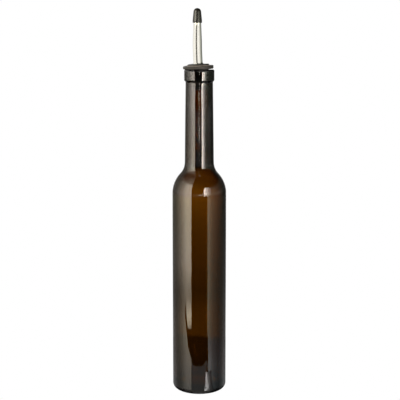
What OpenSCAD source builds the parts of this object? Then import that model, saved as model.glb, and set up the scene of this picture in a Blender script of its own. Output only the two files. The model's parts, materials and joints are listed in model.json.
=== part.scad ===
// Oil bottle with a pourer: a slim glass bottle with a cork mouth, and a bent steel spout that
// a ribbed stopper holds in the mouth. The pourer sits a little askew, as a soft stopper does.
// Millimetres, +Z up. The origin is the middle of the ring that the bottle stands on.

/* [Glass body] */
// Diameter of the straight body
body_d = 54; // [50:0.5:60]
// Height of the glass, from the standing ring to the mouth
glass_h = 326.4; // [318:0.1:334]
// Thickness of the glass wall
wall = 3; // [2.4:0.1:3.4]
// Radius of the rounded heel outside
heel_r = 5.5; // [3:0.1:6]
// Radius of the rounded heel inside
heel_in_r = 7; // [4:0.5:9]
// Height of the push-up under the base
punt_h = 3.5; // [1.5:0.5:6]
// Thickness of the glass over the push-up
base_t = 6; // [4:0.5:9]
// Width of the flat ring that the bottle stands on
stand_w = 2.4; // [1.6:0.2:4]

/* [Shoulder and neck] */
// Height at which the body starts to curve into the shoulder
shoulder_z = 202.8; // [194:0.1:208]
// Radius of the shoulder's outward curve
shoulder_r = 30; // [26:1:34]
// Radius of the inward curve at the foot of the neck
throat_r = 16; // [13:1:20]
// Diameter at the foot of the neck
neck_foot_d = 29; // [28.4:0.1:29.8]
// Diameter of the neck just under the ring
neck_top_d = 27.1; // [26.4:0.1:27.8]

/* [Mouth] */
// Diameter of the raised ring at the mouth
ring_d = 29.8; // [29.2:0.1:30.4]
// Height of the raised ring
ring_h = 12.9; // [10:0.1:14]
// Height of the rounded edge under the ring
ring_under_h = 2.6; // [2.2:0.1:3]
// Radius of the ring's upper edge
ring_lip_r = 1.5; // [0.8:0.1:1.8]
// Bore of the mouth
bore_d = 18.5; // [18:0.1:19]

/* [Stopper] */
// Depth of the stopper below the mouth
plug_l = 20; // [18:0.5:22]
// Diameter of the stopper's hard core
core_d = 14.4; // [13.6:0.1:14.8]
// Thickness of one sealing ring
seal_t = 2.2; // [1.6:0.1:2.8]
// Distance from one sealing ring to the next
seal_pitch = 4.8; // [4.2:0.1:4.8]
// Gap between a sealing ring and the bore
seal_gap = 0.05; // [0.02:0.01:0.1]
// Diameter of the soft flange
flange_d = 30; // [28:0.1:30.6]
// Thickness of the flange at its edge
flange_t = 2.9; // [2.4:0.1:3.4]
// Diameter of the flange's raised middle
hub_d = 20.8; // [18:0.2:24]
// Height of the raised middle above the flange's edge
hub_h = 1.5; // [0.8:0.1:1.8]
// Height of the flange's underside above the mouth, on the stopper's axis
flange_lift = 0.75; // [0.75:0.05:1.2]
// Diameter of the level collar that fills the mouth under the flange
collar_d = 18.2; // [17.6:0.1:18.3]
// Depth of the collar below the mouth
collar_drop = 0.5; // [0.2:0.1:1]
// Lean of the pourer to the left
lean_left = 2.7; // [1:0.1:2.9]
// Lean of the pourer to the front
lean_front = 0.5; // [0.1:0.1:1]

/* [Spout] */
// Diameter of the steel tube
tube_d = 9; // [8.6:0.1:9.2]
// Thickness of the tube's wall
tube_t = 0.5; // [0.4:0.05:0.6]
// Diameter of the flared foot that rests on the flange
foot_d = 10.3; // [9.8:0.1:11]
// Height of the flared foot
foot_h = 2.4; // [1.5:0.1:4]
// Straight length of tube above the flange
straight_l = 9.3; // [9:0.1:12]
// Length of the bend that turns the tube upright
bend_l = 12; // [8:0.5:14]
// Length of the narrowing tip
tip_l = 25.8; // [23:0.1:28]
// Diameter at the end of the tip
tip_d = 6.9; // [6.6:0.1:7.4]
// Gap between the tube and the hole that it turns in
turn_gap = 0.05; // [0.02:0.01:0.1]

/* [Air vent] */
// Diameter of the thin air tube
vent_d = 2.4; // [2:0.1:2.6]
// Bore of the air tube
vent_bore_d = 1.5; // [1:0.1:1.5]
// Length of air tube below the stopper
vent_drop = 8; // [4:0.5:12]
// Height of the air hole above the flange
vent_rise = 6; // [4.5:0.1:8]

/* [Tip cap] */
// Diameter of the cap at its rim
cap_d = 9.2; // [8.8:0.1:9.6]
// Diameter of the cap's round end
cap_end_d = 7.5; // [7.3:0.1:7.9]
// Height of the cap
cap_h = 14.2; // [13.6:0.1:15]
// Length of tube that the cap covers
cap_over = 7.2; // [6:0.1:7.4]
// Gap between the cap and the tube
cap_gap = 0.05; // [0.02:0.01:0.08]

/* [Hidden] */
$fn = 96;

body_r = body_d / 2;
neck_foot_r = neck_foot_d / 2;
neck_top_r = neck_top_d / 2;
ring_r = ring_d / 2;
bore_r = bore_d / 2;

// The push-up is a dome that starts at the inner edge of the standing ring
stand_r = body_r - heel_r - stand_w;
dome_r = (stand_r * stand_r + punt_h * punt_h) / (2 * punt_h);
dome_z = punt_h - dome_r;
dome_a = asin(stand_r / dome_r);

// The inner heel touches both the inner wall and the inner dome
floor_r = dome_r + base_t;
heel_in_x = body_r - wall - heel_in_r;
heel_in_z = dome_z + sqrt(pow(floor_r + heel_in_r, 2) - pow(heel_in_x, 2));
heel_in_a = asin(heel_in_x / (floor_r + heel_in_r));

// The shoulder's outward arc and the throat's inward arc meet smoothly at meet_a
shoulder_x = body_r - shoulder_r;
throat_x = neck_foot_r + throat_r;
throat_z = shoulder_z + sqrt(pow(shoulder_r + throat_r, 2) - pow(throat_x - shoulder_x, 2));
meet_a = acos((throat_x - shoulder_x) / (shoulder_r + throat_r));

// The edge under the ring is two equal arcs, in then out
ring_z = glass_h - ring_h;
ring_out = ring_r - neck_top_r;
under_r = (pow(ring_out, 2) + pow(ring_under_h, 2)) / (4 * ring_out);
under_a = asin(ring_under_h / (2 * under_r));
neck_a = atan((neck_foot_r - neck_top_r) / (ring_z - throat_z));
lip_in_r = 0.8;
// The bore stays straight a little way past the stopper, then widens
bore_end_z = glass_h - plug_l - 4;

// The pourer leans about the middle of the stopper's lower end
plug_z = glass_h - plug_l;
lean = norm([lean_left, lean_front]);
lean_to = atan2(-lean_front, -lean_left);
core_r = core_d / 2;
core_l = plug_l + flange_lift;
seal_r = bore_r - seal_gap;
seal_seat_gap = 0.02;
seal_first = 2.6;

// Lengths along the stopper's axis, from its lower end
flange_top = core_l + flange_t + hub_h;
tube_r = tube_d / 2;
tube_in_r = tube_r - tube_t;
hole_r = tube_r + turn_gap;
tube_low = -1.5;
foot_gap = 0.1;
bend_start = flange_top + straight_l;
bend_r = bend_l / (lean * PI / 180);
tip_r = tip_d / 2;
// The tip starts a little way inside the bend, and a hair narrower, so the two join cleanly
tip_sink = 0.4;
tip_start_r = tube_r - 0.03;

vent_r = vent_d / 2;
vent_x = -2.7;
vent_hole_r = 0.8;
vent_stub_gap = 0.02;

function arc(centre, r, from, to, steps = 10) =
    [for (i = [0:steps]) let (a = from + (to - from) * i / steps) centre + r * [cos(a), sin(a)]];

// Radius of the tube's outside at a height above the bend
function tip_r_at(h) = tip_start_r + (tip_r - tip_start_r) * (h + tip_sink) / (tip_l + tip_sink);

// The stopper's own frame: its axis is +Z and it leans towards the frame's +X
module pourer_frame() {
    translate([0, 0, plug_z]) rotate([0, 0, lean_to]) rotate([0, lean, 0]) children();
}

// The frame at the upper end of the bend, where the tube stands upright again
module tip_frame() {
    pourer_frame()
        translate([bend_r * (cos(lean) - 1), 0, bend_start + bend_r * sin(lean)])
            rotate([0, -lean, 0]) children();
}

// The narrowing tip as a round bar, less a given thickness, and a given length past its end
module tip_bar(less, past) {
    tip_frame() translate([0, 0, -tip_sink])
        cylinder(r1 = tip_start_r - less, r2 = tip_r_at(tip_l + past) - less, h = tip_sink + tip_l + past);
}

// A bend of a round bar, from the stopper's axis back to upright
module bend(r) {
    pourer_frame()
        translate([-bend_r, 0, bend_start]) rotate([90, 0, 0])
            rotate_extrude(angle = lean) translate([bend_r, 0]) circle(r);
}

module bottle() {
    outside = concat(
        arc([0, dome_z], dome_r, 90, 90 - dome_a),
        arc([body_r - heel_r, heel_r], heel_r, -90, 0),
        arc([shoulder_x, shoulder_z], shoulder_r, 0, meet_a, 16),
        arc([throat_x, throat_z], throat_r, 180 + meet_a, 180 - neck_a, 16),
        arc([neck_top_r + under_r, ring_z], under_r, 180, 180 - under_a, 6),
        arc([ring_r - under_r, ring_z + ring_under_h], under_r, -under_a, 0, 6),
        arc([ring_r - ring_lip_r, glass_h - ring_lip_r], ring_lip_r, 0, 90, 6));
    inside = concat(
        arc([bore_r + lip_in_r, glass_h - lip_in_r], lip_in_r, 90, 180, 6),
        [[bore_r, bore_end_z]],
        arc([throat_x, throat_z], throat_r + wall, 180, 180 + meet_a, 16),
        arc([shoulder_x, shoulder_z], shoulder_r - wall, meet_a, 0, 16),
        arc([heel_in_x, heel_in_z], heel_in_r, 0, -90 - heel_in_a),
        arc([0, dome_z], floor_r, 90 - heel_in_a, 90));
    color([0.24, 0.16, 0.06]) rotate_extrude() polygon(concat(outside, inside));
}

module stopper_core() {
    nose = 1.2;
    color([0.08, 0.07, 0.07]) pourer_frame() rotate_extrude()
        polygon([[hole_r, 0], [core_r - nose, 0], [core_r, nose], [core_r, core_l], [hole_r, core_l]]);
}

// A soft ring, level with the mouth, whose hole follows the leaning core
module seal_ring(number) {
    lead = 0.9;
    back = 0.4;
    heart = core_r - 2;
    color([0.1, 0.09, 0.09]) difference() {
        translate([0, 0, plug_z + seal_first + (number - 1) * seal_pitch]) rotate_extrude()
            polygon([[heart, -seal_t / 2], [seal_r - lead, -seal_t / 2], [seal_r, lead - seal_t / 2],
                [seal_r, seal_t / 2 - back], [seal_r - back, seal_t / 2], [heart, seal_t / 2]]);
        pourer_frame() cylinder(r = core_r + seal_seat_gap, h = core_l);
    }
}

// The flange leans, but its collar is level with the mouth, and the collar's hole follows the core
module flange_washer() {
    edge_r = 1;
    flange_r = flange_d / 2;
    hub_r = hub_d / 2;
    sink = 0.3;
    color([0.13, 0.11, 0.1]) union() {
        pourer_frame() translate([0, 0, core_l]) rotate_extrude()
            polygon(concat([[hole_r, 0]],
                arc([flange_r - edge_r, edge_r], edge_r, -90, 0, 6),
                arc([flange_r - edge_r, flange_t - edge_r], edge_r, 0, 90, 6),
                [[hub_r + hub_h / 2, flange_t], [hub_r, flange_t + hub_h], [hole_r, flange_t + hub_h]]));
        difference() {
            intersection() {
                translate([0, 0, glass_h - collar_drop])
                    cylinder(d = collar_d, h = collar_drop + flange_lift + flange_t);
                pourer_frame() cylinder(r = flange_r, h = core_l + sink);
            }
            pourer_frame() cylinder(r = core_r + seal_seat_gap, h = core_l + flange_t);
        }
    }
}

module spout_tube() {
    past = 1;
    foot_r = foot_d / 2;
    foot_z = flange_top + foot_gap;
    foot_edge = 0.5;
    color([0.78, 0.77, 0.74]) difference() {
        union() {
            pourer_frame() rotate_extrude()
                polygon([[0, tube_low], [tube_r, tube_low], [tube_r, foot_z], [foot_r, foot_z],
                    [foot_r, foot_z + foot_edge], [tube_r, foot_z + foot_h], [tube_r, bend_start],
                    [0, bend_start]]);
            bend(tube_r);
            tip_bar(0, 0);
        }
        union() {
            pourer_frame() translate([0, 0, tube_low - past])
                cylinder(r = tube_in_r, h = bend_start - tube_low + past);
            bend(tube_in_r);
            tip_bar(tube_t, past);
        }
        pourer_frame() translate([0, 0, flange_top + vent_rise]) rotate([0, -90, 0])
            cylinder(r = vent_hole_r, h = tube_d);
    }
}

// The air tube runs down inside the spout and opens at a hole in the spout's back
module vent_tube() {
    hole_z = flange_top + vent_rise;
    low_z = -vent_drop;
    top = 1.4;
    stub_r = vent_hole_r - vent_stub_gap;
    color([0.7, 0.7, 0.68]) pourer_frame() difference() {
        union() {
            translate([vent_x, 0, low_z]) cylinder(r = vent_r, h = hole_z + top - low_z);
            translate([vent_x, 0, hole_z]) rotate([0, -90, 0]) cylinder(r = stub_r, h = tube_r + vent_x);
        }
        translate([vent_x, 0, low_z - 1]) cylinder(d = vent_bore_d, h = hole_z - low_z + 1);
        translate([vent_x, 0, hole_z]) rotate([0, -90, 0])
            cylinder(r = stub_r - 0.25, h = tube_r + vent_x + 1);
    }
}

module tip_cap() {
    rim_h = 1.6;
    end_r = cap_end_d / 2;
    rim_z = tip_l - cap_over;
    hollow_r = tip_r_at(tip_l) + cap_gap;
    outside = concat([[cap_d / 2, 0], [cap_d / 2, rim_h]],
        arc([0, cap_h - end_r], end_r, 0, 90, 12));
    inside = concat(arc([0, cap_over + 0.3], hollow_r, 90, 0, 12),
        [[tip_r_at(rim_z) + cap_gap, 0]]);
    color([0.05, 0.05, 0.05]) tip_frame() translate([0, 0, rim_z])
        rotate_extrude() polygon(concat(outside, inside));
}

bottle();
stopper_core();
for (number = [1:4]) seal_ring(number);
flange_washer();
spout_tube();
vent_tube();
tip_cap();
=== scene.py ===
"""Studio scene of a slim amber glass oil bottle with a steel pourer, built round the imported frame."""

import json
import math

import bmesh
import bpy
from mathutils import Matrix, Vector, noise


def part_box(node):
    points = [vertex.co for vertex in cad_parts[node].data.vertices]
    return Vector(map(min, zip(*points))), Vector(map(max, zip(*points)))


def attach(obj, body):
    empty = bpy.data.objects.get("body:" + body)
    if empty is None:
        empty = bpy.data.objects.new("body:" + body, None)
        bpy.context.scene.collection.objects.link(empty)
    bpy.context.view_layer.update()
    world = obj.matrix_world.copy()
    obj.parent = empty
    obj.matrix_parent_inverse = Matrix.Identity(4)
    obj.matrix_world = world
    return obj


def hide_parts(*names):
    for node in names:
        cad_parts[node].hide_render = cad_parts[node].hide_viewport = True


MM = 0.001
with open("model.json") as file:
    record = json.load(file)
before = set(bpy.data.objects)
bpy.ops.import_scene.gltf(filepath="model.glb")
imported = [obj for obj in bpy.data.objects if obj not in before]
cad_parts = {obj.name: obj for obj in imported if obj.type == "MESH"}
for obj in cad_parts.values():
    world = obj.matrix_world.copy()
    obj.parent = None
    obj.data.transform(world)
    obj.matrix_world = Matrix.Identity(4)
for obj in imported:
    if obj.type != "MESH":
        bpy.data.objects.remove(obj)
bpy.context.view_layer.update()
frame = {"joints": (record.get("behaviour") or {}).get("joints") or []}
SHARP_ANGLE = math.radians(35)

# ---- Sizes, in metres. What the frame knows is read from it ------------------------------------

BOTTLE_LOW, BOTTLE_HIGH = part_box("bottle")
BODY_R = (BOTTLE_HIGH[0] - BOTTLE_LOW[0]) / 2
MOUTH_Z = BOTTLE_HIGH[2]
WALL = 3.0 * MM
HEEL_R = 5.5 * MM
HEEL_IN_R = 7.0 * MM
PUNT_H = 3.5 * MM
BASE_T = 6.0 * MM
STAND_W = 2.4 * MM
SHOULDER_Z = 202.8 * MM
SHOULDER_R = 30.0 * MM
THROAT_R = 16.0 * MM
NECK_FOOT_R = 14.5 * MM
NECK_TOP_R = 13.55 * MM
RING_R = 14.9 * MM
RING_H = 12.9 * MM
RING_UNDER_H = 2.6 * MM
RING_LIP_R = 1.5 * MM
BORE_R = 9.25 * MM
BORE_LIP_R = 0.8 * MM
BORE_L = 24.0 * MM

TURN = next(j for j in frame["joints"] if j["name"] == "spout_turn")
PLUG_END = Vector(TURN["pos_m"])
PLUG_AXIS = Vector(TURN["axis"]).normalized()
LEAN = math.acos(PLUG_AXIS.z)
LEAN_WAY = Vector((PLUG_AXIS.x, PLUG_AXIS.y, 0)).normalized()
CORE_R = 7.2 * MM
CORE_L = 20.75 * MM
HOLE_R = 4.55 * MM
FLANGE_R = 15.0 * MM
FLANGE_T = 2.9 * MM
HUB_R = 10.4 * MM
HUB_H = 1.5 * MM
COLLAR_R = 9.1 * MM
COLLAR_DROP = 0.5 * MM
FLANGE_TOP = CORE_L + FLANGE_T + HUB_H

TUBE_R = 4.5 * MM
TUBE_WALL = 0.5 * MM
TUBE_LOW = -1.5 * MM
FOOT_R = 5.15 * MM
FOOT_H = 2.4 * MM
BEND_START = FLANGE_TOP + 9.3 * MM
BEND_L = 12.0 * MM
TIP_R = 3.45 * MM
TIP_L = 25.8 * MM

VENT_R = 1.2 * MM
VENT_BORE_R = 0.75 * MM
VENT_X = -2.7 * MM
VENT_HOLE_R = 0.8 * MM
VENT_LOW = -8.0 * MM
VENT_HOLE_Z = FLANGE_TOP + 6.0 * MM

CAP_LOW, CAP_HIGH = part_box("tip_cap")
CAP_R = (CAP_HIGH[0] - CAP_LOW[0]) / 2
CAP_H = CAP_HIGH[2] - CAP_LOW[2]
CAP_END_R = 3.75 * MM
CAP_OVER = 7.2 * MM


# ---- Mesh helpers ------------------------------------------------------------------------------


def arc(x, z, r, start, end, steps):
    """Points on a circle about (x, z), with its angles in degrees."""
    angles = [math.radians(start + (end - start) * i / steps) for i in range(steps + 1)]
    return [(x + r * math.cos(a), z + r * math.sin(a)) for a in angles]


def line(start, end, steps):
    """Points from start up to, but not counting, end."""
    return [tuple(a + (b - a) * i / steps for a, b in zip(start, end)) for i in range(steps)]


def rounded(corners, steps=5):
    """A closed outline from (r, z, radius) corners, with each corner rounded by its own radius."""
    points = []
    for i, (r, z, radius) in enumerate(corners):
        here = Vector((r, z))
        back = (Vector(corners[i - 1][:2]) - here).normalized()
        ahead = (Vector(corners[(i + 1) % len(corners)][:2]) - here).normalized()
        half = back.angle(ahead) / 2
        if radius == 0 or half > math.radians(89):
            points.append((r, z))
            continue
        reach = radius / math.tan(half)
        first, last = here + back * reach, here + ahead * reach
        centre = here + (back + ahead).normalized() * (radius / math.sin(half))
        for k in range(steps + 1):
            at = first.lerp(last, k / steps) - centre
            points.append(tuple(centre + at.normalized() * radius))
    return points


def skin(name, stations, segments=96, closed=True, shape=None, angles=None):
    """Rings of vertices at (matrix, radius) stations, joined into one surface. shape moves a point."""
    angles = angles or [2 * math.pi * k / segments for k in range(segments)]
    verts, rings = [], []
    for index, (matrix, radius) in enumerate(stations):
        if radius < 1e-7:
            rings.append([len(verts)])
            verts.append(matrix @ Vector((0, 0, 0)))
            continue
        rings.append(range(len(verts), len(verts) + len(angles)))
        for angle in angles:
            point = Vector((radius * math.cos(angle), radius * math.sin(angle), 0))
            verts.append(shape(matrix @ point, angle, index) if shape else matrix @ point)
    faces = []
    pairs = list(zip(rings, rings[1:])) + ([(rings[-1], rings[0])] if closed else [])
    for low, high in pairs:
        for k in range(len(angles)):
            n = (k + 1) % len(angles)
            quad = [low[k % len(low)], low[n % len(low)], high[n % len(high)], high[k % len(high)]]
            quad = list(dict.fromkeys(quad))
            if len(quad) > 2:
                faces.append(quad)
    mesh = bpy.data.meshes.new(name)
    mesh.from_pydata(verts, [], faces)
    mesh.validate()
    shade(mesh)
    return place(name, mesh)


def shade(mesh):
    """Smooth shading, with edges past SHARP_ANGLE kept sharp."""
    mesh.shade_smooth()
    mesh.set_sharp_from_angle(angle=SHARP_ANGLE)


def place(name, data):
    """An object of the scene with that mesh or camera."""
    made = bpy.data.objects.new(name, data)
    bpy.context.scene.collection.objects.link(made)
    return made


def up(z, base=Matrix()):
    """The frame at a height z on the axis of base."""
    return base @ Matrix.Translation((0, 0, z))


def lathe(name, outline, base=Matrix(), **options):
    """A turned piece whose (r, z) outline runs round the axis of base."""
    return skin(name, [(up(z, base), r) for r, z in outline], **options)


def combine(piece, other, operation):
    """Adds other's solid to piece, or takes it away, and removes other."""
    tool = piece.modifiers.new("combine", "BOOLEAN")
    tool.object, tool.operation, tool.solver = other, operation, "EXACT"
    bpy.context.view_layer.update()
    made = piece.evaluated_get(bpy.context.evaluated_depsgraph_get())
    mesh = bpy.data.meshes.new_from_object(made)
    piece.modifiers.clear()
    piece.data = mesh
    shade(mesh)
    bpy.data.objects.remove(other)


def rod(name, base, low, high, radius):
    """A plain round solid along the axis of base."""
    outline = [(0, low), (radius, low), (radius, high), (0, high)]
    return lathe(name, outline, base, segments=48, closed=False)


def finish_piece(piece, body, node, mat):
    """The piece stands for a CAD node, rides on its body and has one material."""
    piece.data.materials.append(mat)
    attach(piece, body)
    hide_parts(node)


# The stopper's own frame: +Z along its leaning axis, from its lower end, and +X the way it leans
PLUG = (
    Matrix.Translation(PLUG_END)
    @ Matrix.Rotation(math.atan2(PLUG_AXIS.y, PLUG_AXIS.x), 4, "Z")
    @ Matrix.Rotation(LEAN, 4, "Y")
)
BEND_R = BEND_L / LEAN


def along_bend(share):
    """The tube's frame at a share of the way round its bend."""
    angle = LEAN * share
    shift = Vector((BEND_R * (math.cos(angle) - 1), 0, BEND_START + BEND_R * math.sin(angle)))
    return PLUG @ Matrix.Translation(shift) @ Matrix.Rotation(-angle, 4, "Y")


# The frame at the end of the bend, with +Z towards the tip
TIP = along_bend(1)

# The air tube's frame, and that of its side hole, with +Z out through the back of the spout
VENT = PLUG @ Matrix.Translation((VENT_X, 0, 0))
VENT_SIDE = VENT @ Matrix.Translation((0, 0, VENT_HOLE_Z)) @ Matrix.Rotation(-math.pi / 2, 4, "Y")

# ---- Material helpers --------------------------------------------------------------------------


class Nodes:
    """A node tree with short calls for the few kinds of node that the materials use."""

    def __init__(self, tree):
        self.tree = tree

    def new(self, kind, **values):
        node = self.tree.nodes.new(kind)
        for key, value in values.items():
            setattr(node, key, value)
        return node

    def feed(self, socket, value):
        if isinstance(value, bpy.types.NodeSocket):
            self.tree.links.new(value, socket)
        else:
            socket.default_value = value

    def math(self, operation, a, b=0.0):
        node = self.new("ShaderNodeMath", operation=operation)
        self.feed(node.inputs[0], a)
        self.feed(node.inputs[1], b)
        return node.outputs[0]

    def steps(self, value, start, end, low=0.0, high=1.0, smooth=True):
        """low before start, high after end, and a smooth or even change between them."""
        kind = "SMOOTHSTEP" if smooth else "LINEAR"
        node = self.new("ShaderNodeMapRange", interpolation_type=kind)
        for socket, number in zip(node.inputs, (value, start, end, low, high)):
            self.feed(socket, number)
        return node.outputs["Result"]

    def noise(self, vector, scale, detail, stretch=(1, 1, 1)):
        """Cloudy values from 0 to 1. A small stretch number draws them out along that axis."""
        mapping = self.new("ShaderNodeMapping")
        mapping.inputs["Scale"].default_value = stretch
        self.feed(mapping.inputs["Vector"], vector)
        texture = self.new("ShaderNodeTexNoise")
        self.feed(texture.inputs["Vector"], mapping.outputs[0])
        texture.inputs["Scale"].default_value = scale
        texture.inputs["Detail"].default_value = detail
        return texture.outputs["Fac"]

    def ramp(self, value, stops):
        """A grey value read from (position, value) stops, with positions from 0 to 1."""
        node = self.new("ShaderNodeValToRGB")
        elements = node.color_ramp.elements
        while len(elements) < len(stops):
            elements.new(0.5)
        for element, (position, level) in zip(elements, stops):
            element.position = position
            element.color = (level, level, level, 1)
        self.feed(node.inputs[0], value)
        return node.outputs[0]

    def mix(self, factor, a, b):
        node = self.new("ShaderNodeMix", data_type="RGBA")
        self.feed(node.inputs[0], factor)
        self.feed(node.inputs[6], a)
        self.feed(node.inputs[7], b)
        return node.outputs[2]

    def bump(self, height, distance):
        """A normal for a relief of that height, in metres."""
        node = self.new("ShaderNodeBump")
        node.inputs["Strength"].default_value = 1.0
        node.inputs["Distance"].default_value = distance
        self.feed(node.inputs["Height"], height)
        return node.outputs[0]


def new_material(name):
    """A material with its node helper, its Principled node and its object coordinates."""
    mat = bpy.data.materials.new(name)
    mat.use_nodes = True
    nodes = Nodes(mat.node_tree)
    shader = mat.node_tree.nodes["Principled BSDF"]
    where = nodes.new("ShaderNodeTexCoord").outputs["Object"]
    return mat, nodes, shader, where


# ---- Materials ---------------------------------------------------------------------------------


def amber_glass():
    """Smooth glass, faintly rippled. Its amber comes from what its own thickness absorbs."""
    mat, nodes, shader, where = new_material("amber_glass")
    shader.inputs["Base Color"].default_value = (1, 1, 1, 1)
    shader.inputs["Transmission Weight"].default_value = 1
    shader.inputs["Roughness"].default_value = 0.0
    shader.inputs["IOR"].default_value = 1.52
    ripple = nodes.noise(where, 60, 1.5, (1, 1, 0.35))
    nodes.feed(shader.inputs["Normal"], nodes.bump(ripple, 0.00006))
    absorb = nodes.new("ShaderNodeVolumeAbsorption")
    absorb.inputs["Density"].default_value = 1240
    absorb.inputs["Color"].default_value = (0.645, 0.49, 0.0, 1)
    mat.node_tree.links.new(absorb.outputs[0], mat.node_tree.nodes["Material Output"].inputs["Volume"])
    return mat


def spout_steel():
    """Polished steel, with faint smears in its colour and gloss."""
    mat, nodes, shader, where = new_material("spout_steel")
    shader.inputs["Metallic"].default_value = 1
    smear = nodes.noise(where, 90, 3, (1, 1, 0.5))
    tone = nodes.mix(smear, (0.66, 0.65, 0.61, 1), (0.74, 0.73, 0.69, 1))
    nodes.feed(shader.inputs["Base Color"], tone)
    nodes.feed(shader.inputs["Roughness"], nodes.steps(smear, 0.3, 0.75, 0.1, 0.14))
    return mat


def vent_steel():
    """Drawn steel, with fine lines along the tube."""
    mat, nodes, shader, where = new_material("vent_steel")
    shader.inputs["Metallic"].default_value = 1
    drawn = nodes.noise(where, 1500, 3, (1, 1, 0.02))
    tone = nodes.mix(drawn, (0.5, 0.49, 0.47, 1), (0.66, 0.65, 0.63, 1))
    nodes.feed(shader.inputs["Base Color"], tone)
    nodes.feed(shader.inputs["Roughness"], nodes.steps(drawn, 0.3, 0.7, 0.22, 0.36))
    nodes.feed(shader.inputs["Normal"], nodes.bump(drawn, 0.000006))
    return mat


def soft_black(name, dark, light, rough, grain_scale, grain_depth):
    """Moulded black rubber or plastic: slight mottling, uneven gloss and a fine grain."""
    mat, nodes, shader, where = new_material(name)
    mottle = nodes.noise(where, 260, 4)
    grain = nodes.noise(where, grain_scale, 3)
    nodes.feed(shader.inputs["Base Color"], nodes.mix(mottle, dark, light))
    nodes.feed(shader.inputs["Roughness"], nodes.steps(mottle, 0.25, 0.75, rough - 0.06, rough + 0.07))
    nodes.feed(shader.inputs["Normal"], nodes.bump(grain, grain_depth))
    shader.inputs["IOR"].default_value = 1.5
    return mat


def flange_rubber():
    """Brown-black rubber. A paler band round its upper edge is a painted highlight, standing in for the
    sheen that the edge catches, broken up by noise.
    """
    mat, nodes, shader, where = new_material("flange_rubber")
    mottle = nodes.noise(where, 260, 4)
    dark = nodes.mix(mottle, (0.012, 0.0095, 0.008, 1), (0.03, 0.024, 0.02, 1))
    along = nodes.new("ShaderNodeVectorMath", operation="DOT_PRODUCT")
    nodes.feed(along.inputs[0], where)
    along.inputs[1].default_value = PLUG_AXIS
    edge_z = PLUG_END.dot(PLUG_AXIS) + CORE_L + FLANGE_T
    # Painted highlight: a paler band painted round the flange's upper edge stands in for the sheen that
    # edge catches, made patchy by noise below.
    painted_highlight = nodes.math(
        "MULTIPLY",
        nodes.steps(along.outputs["Value"], edge_z - 0.25 * MM, edge_z + 0.05 * MM),
        nodes.steps(along.outputs["Value"], edge_z + 0.2 * MM, edge_z + 0.7 * MM, 1.0, 0.0),
    )
    painted_highlight = nodes.math("MULTIPLY", painted_highlight, nodes.steps(nodes.noise(where, 220, 2), 0.3, 0.6, 0.55, 1.0))
    nodes.feed(shader.inputs["Base Color"], nodes.mix(painted_highlight, dark, (0.25, 0.21, 0.18, 1)))
    nodes.feed(shader.inputs["Roughness"], nodes.steps(mottle, 0.25, 0.75, 0.48, 0.62))
    nodes.feed(shader.inputs["Normal"], nodes.bump(nodes.noise(where, 900, 3), 0.00003))
    shader.inputs["IOR"].default_value = 1.5
    return mat


def cap_plastic():
    """Glossy black plastic, with faint flow marks."""
    mat, nodes, shader, where = new_material("cap_plastic")
    flow = nodes.noise(where, 200, 3, (1, 1, 0.25))
    tone = nodes.mix(flow, (0.006, 0.006, 0.006, 1), (0.02, 0.018, 0.015, 1))
    nodes.feed(shader.inputs["Base Color"], tone)
    nodes.feed(shader.inputs["Roughness"], nodes.steps(flow, 0.3, 0.7, 0.16, 0.26))
    nodes.feed(shader.inputs["Normal"], nodes.bump(flow, 0.00001))
    shader.inputs["IOR"].default_value = 1.52
    return mat


# ---- The glass bottle --------------------------------------------------------------------------


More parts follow.
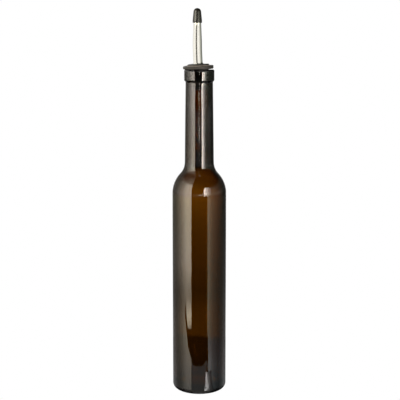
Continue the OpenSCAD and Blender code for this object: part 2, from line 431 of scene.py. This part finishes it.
def bottle_outline():
    """(r, z) points round the glass: up the outside from the push-up, and down the inside."""
    stand_r = BODY_R - HEEL_R - STAND_W
    dome_r = (stand_r**2 + PUNT_H**2) / (2 * PUNT_H)
    dome_z = PUNT_H - dome_r
    dome_a = math.degrees(math.asin(stand_r / dome_r))
    floor_r = dome_r + BASE_T
    heel_x = BODY_R - WALL - HEEL_IN_R
    heel_z = dome_z + math.sqrt((floor_r + HEEL_IN_R) ** 2 - heel_x**2)
    heel_a = math.degrees(math.asin(heel_x / (floor_r + HEEL_IN_R)))
    shoulder_x = BODY_R - SHOULDER_R
    throat_x = NECK_FOOT_R + THROAT_R
    reach = SHOULDER_R + THROAT_R
    throat_z = SHOULDER_Z + math.sqrt(reach**2 - (throat_x - shoulder_x) ** 2)
    meet = math.degrees(math.acos((throat_x - shoulder_x) / reach))
    ring_z = MOUTH_Z - RING_H
    # Two arcs make the ring's lower side, from the neck out to the ring
    out = RING_R - NECK_TOP_R
    under_r = (out**2 + RING_UNDER_H**2) / (4 * out)
    under_a = math.degrees(math.asin(RING_UNDER_H / (2 * under_r)))
    taper = math.degrees(math.atan((NECK_FOOT_R - NECK_TOP_R) / (ring_z - throat_z)))
    ring_low, ring_high = ring_z + RING_UNDER_H, MOUTH_Z - RING_LIP_R
    # A short step beside each arc keeps its shading off the straight side next to it
    outside = [
        *arc(0, dome_z, dome_r, 90, 90 - dome_a, 14),
        *line((stand_r + 0.15 * MM, 0), (BODY_R - HEEL_R, 0), 3),
        *arc(BODY_R - HEEL_R, HEEL_R, HEEL_R, -90, 0, 14),
        (BODY_R, HEEL_R + 0.4 * MM),
        *line((BODY_R, HEEL_R + 2 * MM), (BODY_R, SHOULDER_Z - 0.8 * MM), 24),
        (BODY_R, SHOULDER_Z - 0.8 * MM),
        *arc(shoulder_x, SHOULDER_Z, SHOULDER_R, 0, meet, 22),
        *arc(throat_x, throat_z, THROAT_R, 180 + meet - 2, 180 - taper, 20),
        *line((NECK_FOOT_R - 0.1 * MM, throat_z + 3 * MM), (NECK_TOP_R, ring_z - 0.5 * MM), 12),
        (NECK_TOP_R, ring_z - 0.5 * MM),
        *arc(NECK_TOP_R + under_r, ring_z, under_r, 180, 180 - under_a, 6),
        *arc(RING_R - under_r, ring_low, under_r, 6 - under_a, 0, 6),
        *line((RING_R, ring_low + 0.4 * MM), (RING_R, ring_high - 0.3 * MM), 3),
        (RING_R, ring_high - 0.3 * MM),
        *arc(RING_R - RING_LIP_R, ring_high, RING_LIP_R, 0, 90, 7),
    ]
    inside = [
        *arc(BORE_R + BORE_LIP_R, MOUTH_Z - BORE_LIP_R, BORE_LIP_R, 90, 180, 7),
        *line((BORE_R, MOUTH_Z - 2 * MM), (BORE_R, MOUTH_Z - BORE_L), 6),
        *line((BORE_R, MOUTH_Z - BORE_L), (throat_x - THROAT_R - WALL, throat_z + 2 * MM), 12),
        *arc(throat_x, throat_z, THROAT_R + WALL, 180, 180 + meet, 20),
        *arc(shoulder_x, SHOULDER_Z, SHOULDER_R - WALL, meet - 2, 0, 20),
        *line((BODY_R - WALL, SHOULDER_Z - 3 * MM), (BODY_R - WALL, heel_z), 24),
        *arc(heel_x, heel_z, HEEL_IN_R, 0, -90 - heel_a, 14),
        *arc(0, dome_z, floor_r, 90 - heel_a - 2, 90, 10),
    ]
    return outside, inside


def glass_bottle():
    """One closed surface, with two mould seams, a knurled standing ring and a slightly uneven inside."""
    outside, inside = bottle_outline()
    seam_h, seam_w, seam_at = 0.065 * MM, 0.21 * MM, math.radians(88.7)
    seam_low, seam_least_r = 1 * MM, 12 * MM
    knurls, knurl_h = 60, 0.22 * MM
    uneven, lump_l, lump_scale, calm_l = 0.06 * MM, 34 * MM, 1.1, 20 * MM
    count = len(outside)
    heights = [z for _, z in outside + inside]
    radii = [r for r, _ in outside + inside]

    def shape(point, angle, index):
        """Makes the inside uneven below the bore, and adds the seams and the knurls outside."""
        r, z = radii[index], heights[index]
        if index >= count:
            depth = min(1, max(0, (MOUTH_Z - BORE_L - z) / calm_l))
            spot = Vector((math.cos(angle), math.sin(angle), z / lump_l))
            grow = 1 + uneven * depth * noise.noise(spot * lump_scale) / max(r, BORE_R)
            return Vector((point.x * grow, point.y * grow, point.z))
        off = (angle - seam_at + math.pi / 2) % math.pi - math.pi / 2
        ridge = math.exp(-((off * r / seam_w) ** 2)) if z > seam_low and r > seam_least_r else 0
        grow = 1 + seam_h * ridge / r
        stands = z < 0.05 * MM and r > BODY_R - HEEL_R - STAND_W + 0.1 * MM
        lift = knurl_h * (0.5 - 0.5 * math.cos(knurls * angle)) if stands else 0
        return Vector((point.x * grow, point.y * grow, point.z + lift))

    # Even steps round the bottle, and finer ones across both seams
    around, fine_step, least_gap = 300, 0.0035, 0.006
    even = [2 * math.pi * k / around for k in range(around)]
    fine = [seam_at + side + k * fine_step for side in (0, math.pi) for k in range(-9, 10)]
    near = [min(abs((a - f + math.pi) % (2 * math.pi) - math.pi) for f in fine) for a in even]
    angles = sorted([a for a, gap in zip(even, near) if gap > least_gap] + fine)
    piece = lathe("bottle_glass", outside + inside, closed=False, shape=shape, angles=angles)
    finish_piece(piece, "bottle", "bottle", amber_glass())


# ---- The stopper -------------------------------------------------------------------------------


def stopper_core():
    """A hard plug with a chamfered nose and shallow flutes between its rings."""
    nose = 1.2 * MM
    groove = 0.35 * MM
    outline = [
        (HOLE_R, 0, 0.3 * MM),
        (CORE_R - nose, 0, 0.3 * MM),
        (CORE_R, nose, 0.4 * MM),
        (CORE_R, CORE_L - 1.6 * MM, 0),
        (CORE_R - groove, CORE_L - 1.2 * MM, 0.2 * MM),
        (CORE_R - groove, CORE_L, 0.1 * MM),
        (HOLE_R, CORE_L, 0.1 * MM),
    ]
    dark, light = (0.012, 0.011, 0.011, 1), (0.024, 0.022, 0.021, 1)
    mat = soft_black("stopper_plastic", dark, light, 0.42, 2500, 0.00001)
    piece = lathe("stopper_plug", rounded(outline), PLUG, segments=96)
    finish_piece(piece, "stopper", "stopper_core", mat)


def seal_rings():
    """Four soft lamellae, level with the mouth, round the leaning plug."""
    dark, light = (0.014, 0.013, 0.012, 1), (0.03, 0.028, 0.026, 1)
    mat = soft_black("seal_rubber", dark, light, 0.5, 1800, 0.00002)
    for number in range(1, 5):
        node = f"seal_ring_{number}"
        low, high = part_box(node)
        ring_r = (high[0] - low[0]) / 2
        middle, thick = (low[2] + high[2]) / 2, high[2] - low[2]
        lean_to = LEAN_WAY * ((middle - PLUG_END.z) * math.tan(LEAN))
        outline = rounded([
            (CORE_R, -thick / 2, 0.1 * MM),
            (ring_r - 1.5 * MM, -thick / 2, 0.5 * MM),
            (ring_r, 0.1 * MM - thick / 2, 0.45 * MM),
            (ring_r, thick / 2 - 0.5 * MM, 0.3 * MM),
            (ring_r - 1.3 * MM, thick / 2, 0.6 * MM),
            (CORE_R, thick / 2, 0.1 * MM),
        ])
        inner = CORE_R + 0.3 * MM

        def shape(point, angle, index, lean_to=lean_to, radii=[r for r, _ in outline]):
            """Makes the ring's hole follow the leaning plug."""
            share = max(0, (inner - radii[index]) / (inner - CORE_R))
            return point + lean_to * min(1, share)

        piece = lathe(f"seal_lamella_{number}", outline, up(middle), segments=128, shape=shape)
        finish_piece(piece, "stopper", node, mat)


def add_collar(piece):
    """Adds the level collar that fills the mouth under the leaning flange."""
    inner = CORE_R + 0.05 * MM
    level = MOUTH_Z - COLLAR_DROP
    outline = rounded([
        (inner, 0, 0),
        (COLLAR_R, 0, 0.15 * MM),
        (COLLAR_R, 2 * MM, 0),
        (inner, 2 * MM, 0),
    ])
    radii = [r for r, _ in outline]

    def shape(point, angle, index):
        """Raises the top to the flange, and makes the hole follow the core."""
        if radii[index] < inner + 0.01 * MM:
            point = point + LEAN_WAY * ((point.z - PLUG_END.z) * math.tan(LEAN))
        if point.z > level + MM:
            out = (point - PLUG_END).xy.dot(PLUG_AXIS.xy)
            point.z = PLUG_END.z + (CORE_L + 0.2 * MM - out) / PLUG_AXIS.z
        return point

    collar = lathe("collar", outline, up(level), segments=128, shape=shape)
    joined = bmesh.new()
    joined.from_mesh(piece.data)
    joined.from_mesh(collar.data)
    joined.to_mesh(piece.data)
    joined.free()
    bpy.data.objects.remove(collar)


def flange_disc():
    """A soft disc, a little wavy, with a raised middle round the tube and a collar below."""
    edge = 0.7 * MM
    sag, sag_l = 0.5 * MM, 7 * MM
    dip, calm_l = 0.1 * MM, 4 * MM
    top = FLANGE_T + HUB_H
    outline = rounded([
        (HOLE_R, 0, 0.1 * MM),
        (FLANGE_R, 0, edge),
        (FLANGE_R, FLANGE_T, edge),
        (HUB_R + 0.9 * MM, FLANGE_T, 0.5 * MM),
        (HUB_R, top, 0.5 * MM),
        (FOOT_R + 1.0 * MM, top, 0.3 * MM),
        (FOOT_R + 0.6 * MM, top - 0.25 * MM, 0.2 * MM),
        (HOLE_R, top - 0.25 * MM, 0.1 * MM),
    ])
    radii = [r for r, _ in outline]
    heights = [z for _, z in outline]

    def shape(point, angle, index):
        """Sags the underside on the raised side, and dips the top here and there, away from the tube."""
        if heights[index] < FLANGE_T / 2:
            return point - PLUG_AXIS * (sag * min(1, max(0, point.x / sag_l)))
        share = min(1, max(0, (radii[index] - FOOT_R - MM) / calm_l))
        wave = math.sin(2 * angle + 0.6) + 0.6 * math.sin(3 * angle + 2.2)
        return point - PLUG_AXIS * (dip * share * (1.6 + wave))

    piece = lathe("flange_disc", outline, up(CORE_L, PLUG), segments=144, shape=shape)
    add_collar(piece)
    finish_piece(piece, "stopper", "flange_washer", flange_rubber())


# ---- The spout ---------------------------------------------------------------------------------


def spout_tube():
    """A thin steel tube with a flared foot, a bend and a narrowing, rolled tip. Its bore is open."""
    foot_z = FLANGE_TOP + 0.1 * MM
    rolled = 0.22 * MM
    bore_r = TUBE_R - TUBE_WALL
    bend = [k / 12 for k in range(13)]
    low = [
        (TUBE_R - 0.15 * MM, TUBE_LOW),
        (TUBE_R, TUBE_LOW + 0.15 * MM),
        *line((TUBE_R, TUBE_LOW + MM), (TUBE_R, foot_z), 16),
        *arc(FOOT_R - rolled, foot_z + rolled, rolled, -80, 45, 6),
    ]
    flare_out, flare_z, flare_h = FOOT_R - 0.15 * MM - TUBE_R, foot_z + 2 * rolled, FOOT_H - 2 * rolled
    flare = [
        (TUBE_R + flare_out * (1 - share) ** 2.2, flare_z + flare_h * share)
        for share in (k / 9 for k in range(10))
    ]
    rise = [*low, *flare, *line((TUBE_R, foot_z + FOOT_H + 0.4 * MM), (TUBE_R, BEND_START), 12)]
    outer = [(up(z, PLUG), r) for r, z in rise]
    outer += [(along_bend(share), TUBE_R) for share in bend]
    tip = line((TUBE_R, 0), (TIP_R, TIP_L - 2 * rolled), 22)[1:]
    tip += arc(TIP_R - rolled, TIP_L - rolled, rolled, 0, 150, 7)
    outer += [(up(z, TIP), r) for r, z in tip]
    tip_bore = line((TIP_R - TUBE_WALL, TIP_L - 2 * rolled), (bore_r, 0), 22)
    low_bore = line((bore_r, BEND_START - MM), (bore_r, TUBE_LOW), 24)
    inner = [(up(z, TIP), r) for r, z in tip_bore]
    inner += [(along_bend(1 - share), bore_r) for share in bend]
    inner += [(up(z, PLUG), r) for r, z in low_bore]
    inner += [(up(TUBE_LOW, PLUG), bore_r)]
    piece = skin("spout_steel_tube", outer + inner, segments=128)
    combine(piece, rod("vent_drill", VENT_SIDE, 0, 3 * MM, VENT_HOLE_R), "DIFFERENCE")
    finish_piece(piece, "spout", "spout_tube", spout_steel())


def vent_tube():
    """A thin air tube, closed at the top, with a side stub that opens at the hole in the spout."""
    top = VENT_HOLE_Z + 1.4 * MM
    stub_r = VENT_HOLE_R - 0.02 * MM
    stub_wall = 0.25 * MM
    reach = TUBE_R + VENT_X
    outline = rounded([
        (0, VENT_LOW, 0),
        (VENT_R, VENT_LOW, 0.15 * MM),
        (VENT_R, top, 0.5 * MM),
        (0, top, 0),
    ])
    piece = lathe("vent_steel_tube", outline, VENT, segments=64, closed=False)
    combine(piece, rod("stub", VENT_SIDE, 0, reach, stub_r), "UNION")
    combine(piece, rod("bore", VENT, VENT_LOW - MM, VENT_HOLE_Z, VENT_BORE_R), "DIFFERENCE")
    combine(piece, rod("side_bore", VENT_SIDE, 0, reach + MM, stub_r - stub_wall), "DIFFERENCE")
    finish_piece(piece, "spout", "vent_tube", vent_steel())


# ---- The tip cap -------------------------------------------------------------------------------


def tip_cap():
    """A glossy bullet-shaped cap with a rounded rim, hollow where it covers the tube."""
    rim_z = TIP_L - CAP_OVER
    rim_h, rim_edge = 1.6 * MM, 0.3 * MM
    hollow = TIP_R + 0.05 * MM
    hollow_rim = TUBE_R + (TIP_R - TUBE_R) * rim_z / TIP_L + 0.06 * MM
    outline = [
        (hollow_rim, 0.15 * MM),
        *arc(CAP_R - rim_edge, rim_edge, rim_edge, -90, 0, 6),
        (CAP_R, rim_h),
        (CAP_R - 0.02 * MM, rim_h + 0.6 * MM),
        *arc(0, CAP_H - CAP_END_R, CAP_END_R, 4, 90, 22),
    ]
    inside = arc(0, CAP_OVER + 0.3 * MM, hollow, 90, 0, 12)
    piece = lathe("tip_cap_shell", inside + outline, up(rim_z, TIP), segments=112, closed=False)
    finish_piece(piece, "cap", "tip_cap", cap_plastic())


# ---- Studio ------------------------------------------------------------------------------------


def camera():
    """A long lens from the front, looking a little down."""
    distance, pitch = 1.055, math.radians(10)
    aim_x, aim_z = 0.0007, 0.196
    data = bpy.data.cameras.new("camera")
    data.lens, data.sensor_width = 94.6, 36
    cam = place("camera", data)
    cam.location = (aim_x, -distance * math.cos(pitch), aim_z + distance * math.sin(pitch))
    cam.rotation_euler = (math.pi / 2 - pitch, 0, 0)
    bpy.context.scene.camera = cam


def glowing_material(name):
    """A material that only glows, with its node helper and its Emission node."""
    mat = bpy.data.materials.new(name)
    mat.use_nodes = True
    tree = mat.node_tree
    tree.nodes.remove(tree.nodes["Principled BSDF"])
    nodes = Nodes(tree)
    glow = nodes.new("ShaderNodeEmission")
    tree.links.new(glow.outputs[0], tree.nodes["Material Output"].inputs["Surface"])
    return mat, nodes, glow


def white_floor():
    """A plain white floor that the camera sees. Reflections see the studio's own light instead."""
    side, below = 6.0, 0.1 * MM
    mesh = bpy.data.meshes.new("floor")
    corners = [(-side, -side), (side, -side), (side, side), (-side, side)]
    mesh.from_pydata([(x, y, -below) for x, y in corners], [], [(0, 1, 2, 3)])
    floor = place("floor", mesh)
    mat, nodes, glow = glowing_material("floor_white")
    nodes.feed(glow.inputs["Strength"], 1.0)
    mesh.materials.append(mat)
    floor.visible_glossy = floor.visible_transmission = floor.visible_diffuse = False
    floor.visible_shadow = False


def studio_card(name, corners, color, strength, fade=None):
    """A glowing four-sided card that only reflections and refractions see, with its corners in
    millimetres. With fade, its light changes from the side between its last and first corners to
    the opposite side, as (share, level) stops."""
    mesh = bpy.data.meshes.new(name)
    mesh.from_pydata([Vector(c) * MM for c in corners], [], [(0, 1, 2, 3)])
    across = mesh.uv_layers.new(name="across")
    for loop, share in zip(across.data, (0, 1, 1, 0)):
        loop.uv = (share, 0)
    card = place(name, mesh)
    mat, nodes, glow = glowing_material(name)
    glow.inputs["Color"].default_value = (*color, 1)
    level = strength
    if fade:
        way = nodes.new("ShaderNodeSeparateXYZ")
        nodes.feed(way.inputs[0], nodes.new("ShaderNodeUVMap", uv_map="across").outputs[0])
        level = nodes.math("MULTIPLY", nodes.ramp(way.outputs[0], fade), strength)
    nodes.feed(glow.inputs["Strength"], level)
    mesh.materials.append(mat)
    card.visible_camera = card.visible_shadow = False


def upright(near, far, low, high):
    """The corners of an upright card from near to far, each (x, y), and from low to high."""
    return [(*near, low), (*far, low), (*far, high), (*near, high)]


def studio_cards():
    """White cards: one at the right front, level with the neck, a small one behind the neck, three
    close round the spout, and two on the table in front of the bottle."""
    near, far = (70, -204), (160, -130)
    studio_card(
        "neck_card",
        [(*near, 201), (*far, 216), (*far, 301), (*near, 301)],
        (1, 0.94, 0.85), 17,
        [(0, 1), (0.18, 0.97), (0.42, 0.5), (0.55, 0.36), (0.68, 0.25), (0.91, 0.09), (1, 0.03)],
    )
    studio_card(
        "neck_backing",
        [(-21, 27, 224), (-21, 27, 319), (21, 27, 319), (21, 27, 224)],
        (1, 1, 1), 1,
        [(0, 0.03), (0.2, 0.03), (0.32, 0.06), (0.45, 0.1), (0.57, 0.26), (0.73, 0.9), (1, 1)],
    )
    low, high = 326, 373
    behind, left, front, right = (-34, 50), (-38.6, -46), (-11, -59), (58, -15)
    studio_card(
        "spout_left_card", upright(left, behind, low, high), (1, 0.98, 0.93), 1.2,
        [(0, 0.9), (0.3, 1), (1, 1)],
    )
    studio_card("spout_gap_card", upright(left, front, low, high), (1, 0.9, 0.8), 0.08)
    studio_card(
        "spout_right_card", upright(front, right, low, high), (1, 0.98, 0.93), 1.3,
        [(0, 0.9), (0.4, 1), (0.6, 0.9), (0.75, 0.7), (1, 0.3)],
    )
    studio_card(
        "table_front",
        [(-68, -112, -0.2), (64, -119, -0.2), (13, -24, -0.2), (-8, -26, -0.2)],
        (1, 0.97, 0.93), 0.5,
    )
    studio_card(
        "table_glint",
        [(7, -33.5, -0.1), (22, -24, -0.1), (72, -68, -0.1), (39, -90, -0.1)],
        (1, 0.98, 0.96), 6.5,
        [(0, 0.4), (0.08, 1), (0.2, 0.9), (0.34, 0.28), (0.6, 0.12), (1, 0.02)],
    )


def studio_light():
    """Soft boxes as a world: a large one on the left, a narrow strip and a broad fill on the right,
    a bright backdrop behind, a pale table, and near darkness elsewhere. Angles are in degrees. An
    azimuth, or turn, of 0 is towards the front, with the right positive, and a rise of 0 is level."""
    world = bpy.data.worlds.new("studio")
    bpy.context.scene.world = world
    world.use_nodes = True
    n = Nodes(world.node_tree)
    way = n.new("ShaderNodeSeparateXYZ")
    n.feed(way.inputs[0], n.new("ShaderNodeTexCoord").outputs["Generated"])
    x, y, z = way.outputs
    degrees = 180 / math.pi
    turn = n.math("MULTIPLY", n.math("ARCTAN2", x, n.math("MULTIPLY", y, -1.0)), degrees)
    rise = n.math("MULTIPLY", n.math("ARCSINE", z), degrees)
    side = n.math("ABSOLUTE", turn)

    def profile(value, stops):
        """A value read along an angle, from (angle, level) stops."""
        low, high = stops[0][0], stops[-1][0]
        least = min(0, *(level for _, level in stops))
        most = max(level for _, level in stops)
        marks = [((a - low) / (high - low), (level - least) / (most - least)) for a, level in stops]
        share = n.ramp(n.steps(value, low, high, smooth=False), marks)
        return n.steps(share, 0.0, 1.0, least, most, smooth=False)

    def product(*parts):
        total = parts[0]
        for part in parts[1:]:
            total = n.math("MULTIPLY", total, part)
        return total

    # The band that the tip cap mirrors lies a little to one side
    cap_shift = product(n.steps(rise, -0.5, -0.4), n.steps(rise, 0.8, 0.9, 18.0, 0.0))
    lamp_turn = n.math("ADD", turn, cap_shift)

    # The large soft box on the left
    left = product(
        profile(lamp_turn, [
            (-175, 0), (-150, 0.15), (-130, 0.3), (-112, 0.6), (-92, 1.6),
            (-80, 2.5), (-68, 4.1), (-57, 5.7), (-48, 6.2), (-32, 6),
        ]),
        n.steps(lamp_turn, -34.9, -33.6, 1.0, 0.0),
        profile(rise, [
            (-21, 0.26), (-19.6, 0.31), (-18.9, 0.37), (-18.1, 0.4), (-17.0, 0.52),
            (-16.3, 0.55), (-15.5, 0.46), (-14.9, 0.5), (-13.3, 0.92), (-10.3, 1),
            (-9.6, 1.12), (-6.2, 0.92), (-4.2, 0.95), (-3.9, 1.15), (-2.95, 1.15),
            (-0.6, 1.1), (-0.5, 0.45), (0.8, 0.45), (0.9, 1.1), (6, 1.1),
        ]),
        n.steps(rise, 28, 44, 1.0, 0.25),
        n.steps(rise, 40, 75, 1.0, 0.0),
        n.steps(rise, -30, -23, 0.35, 1.0),
    )
    # A dark wedge between the soft box's lower edge and the table that it lights
    table_top = profile(turn, [
        (-67, -15.9), (-64, -16.3), (-59, -17), (-54.1, -17.45), (-49.4, -17.9),
        (-39, -18.45), (-34, -18.65),
    ])
    box_foot = profile(turn, [
        (-67, -16.2), (-64, -15.55), (-59, -15.95), (-54.5, -16.7), (-50, -16.85),
        (-34, -16.9),
    ])
    wedge = product(
        n.steps(n.math("SUBTRACT", rise, table_top), -0.1, 0.05),
        n.steps(n.math("SUBTRACT", rise, box_foot), -0.2, 0.05, 1.0, 0.0),
    )
    # The soft box is brighter just above its lower edge
    glow = product(
        n.steps(n.math("SUBTRACT", rise, box_foot), -0.2, 0.15),
        n.steps(turn, -59.5, -57.5),
        profile(rise, [(-17.2, 0.5), (-16.7, 0.5), (-16.2, 1.1), (-15.9, 0.7), (-15.3, 0)]),
    )
    left = product(left, n.math("SUBTRACT", 1.0, wedge), n.math("ADD", 1.0, glow))

    # The narrow strip on the right. It stands a little further round where the ring mirrors it
    ring_shift = n.steps(rise, -2.9, -2.75, 2.3, 0.0)
    strip = product(
        profile(n.math("SUBTRACT", lamp_turn, ring_shift), [
            (17.4, 0), (18.4, 19), (25, 18), (30, 12), (37, 7), (45, 2.8), (53, 0.6), (62, 0),
        ]),
        profile(rise, [
            (-4.0, 0), (-3.75, 1.3), (-2.95, 1.3), (-2.8, 0.1), (-0.4, 0.1), (-0.3, 0.4),
            (6, 0.4), (10, 0),
        ]),
    )
    # The broad fill on the right. It stands a little further round near the table
    foot_shift = n.steps(rise, -17.6, -17.2, 4.0, 0.0)
    fill = product(
        profile(n.math("SUBTRACT", turn, foot_shift), [
            (33.8, 0), (36, 1.8), (43, 1.5), (52, 0.9), (62, 0.58), (73, 0.42), (84, 0.28),
            (96, 0.22), (120, 0.1), (150, 0),
        ]),
        profile(rise, [
            (-21, 0.9), (-18.9, 1.15), (-18.3, 0.95), (-17.7, 0.8), (-17.2, 0.82),
            (-13.3, 0.9), (-10.3, 1.12), (-9.4, 1.12), (-8, 0.6), (-6.2, 0.6), (-4, 0.8),
            (-3, 1.2),
        ]),
        n.steps(rise, 16, 30, 1.0, 0.0),
        n.steps(rise, -30, -22, 0.3, 1.0),
    )
    # The bright backdrop
    back = product(
        profile(side, [
            (110, 0), (135, 0.03), (150, 0.1), (160, 0.22), (168, 0.5), (172, 0.8), (176, 1),
            (180, 1.05),
        ]),
        profile(rise, [
            (-21, 0.1), (-19, 0.16), (-17.45, 0.19), (-17.37, 0.62), (-16.2, 0.58),
            (-14.9, 0.36), (-13.3, 0.55), (-11.7, 0.72), (-10.3, 1.12), (-10, 1.35),
            (-9.2, 1.4), (-8, 1.0), (-6.2, 0.85), (-4.5, 1), (-3, 1.1),
        ]),
        n.steps(rise, 25, 60, 1.0, 0.15),
    )
    # The pale table, far to both sides
    table = product(
        profile(side, [(95, 0), (125, 1), (150, 1), (163, 0)]),
        profile(rise, [
            (-21, 0.36), (-19.5, 0.32), (-17.3, 0.2), (-14.9, 0.11), (-13.3, 0.08), (-10.3, 0),
        ]),
        n.steps(rise, -32, -24),
    )
    # A dim glow in front, from the neck up, and dark where the ring mirrors it
    front = product(
        n.steps(side, 90, 130, 1.0, 0.0),
        profile(rise, [
            (-9, 0.004), (-7.8, 0.06), (-6.2, 0.15), (-4.6, 0.3), (-4, 0.2), (-3.7, 0.01),
            (-2.9, 0.01), (-2.7, 0.22), (-2, 0.24),
        ]),
        n.steps(rise, 2, 8, 1.0, 0.04),
    )

    tint = n.new("ShaderNodeValToRGB")
    tints = [
        (-21, 0.94, 0.84), (-19, 0.94, 0.8), (-17, 0.92, 0.68), (-13.3, 0.92, 0.74),
        (-10, 0.97, 0.72), (-6, 0.9, 0.73), (-3, 0.92, 0.82), (-1, 0.97, 0.85), (4, 0.96, 0.78),
    ]
    elements = tint.color_ramp.elements
    while len(elements) < len(tints):
        elements.new(0.5)
    for element, (angle, green, blue) in zip(elements, tints):
        element.position = (angle - tints[0][0]) / (tints[-1][0] - tints[0][0])
        element.color = (1, green, blue, 1)
    n.feed(tint.inputs[0], n.steps(rise, tints[0][0], tints[-1][0], smooth=False))

    def colored(color, level):
        scaled = n.new("ShaderNodeVectorMath", operation="SCALE")
        n.feed(scaled.inputs[0], color)
        n.feed(scaled.inputs["Scale"], level)
        return scaled.outputs[0]

    def added(a, b):
        total = n.new("ShaderNodeVectorMath", operation="ADD")
        n.feed(total.inputs[0], a)
        n.feed(total.inputs[1], b)
        return total.outputs[0]

    warm = colored(tint.outputs[0], n.math("ADD", left, strip))
    fill_tint = n.mix(n.steps(rise, -17.9, -16.9), (0.9, 0.98, 1, 1), (0.94, 1, 0.78, 1))
    plain = n.math("ADD", n.math("ADD", back, table), front)
    total = added(added(warm, colored(fill_tint, fill)), plain)
    # The camera itself sees plain white
    seen = n.new("ShaderNodeLightPath").outputs["Is Camera Ray"]
    sky = world.node_tree.nodes["Background"]
    n.feed(sky.inputs["Color"], n.mix(seen, total, (1.0, 1.0, 1.0, 1)))
    sky.inputs["Strength"].default_value = 1.0


bpy.context.scene.view_settings.view_transform = "Standard"

camera()
glass_bottle()
stopper_core()
seal_rings()
flange_disc()
spout_tube()
vent_tube()
tip_cap()
white_floor()
studio_cards()
studio_light()
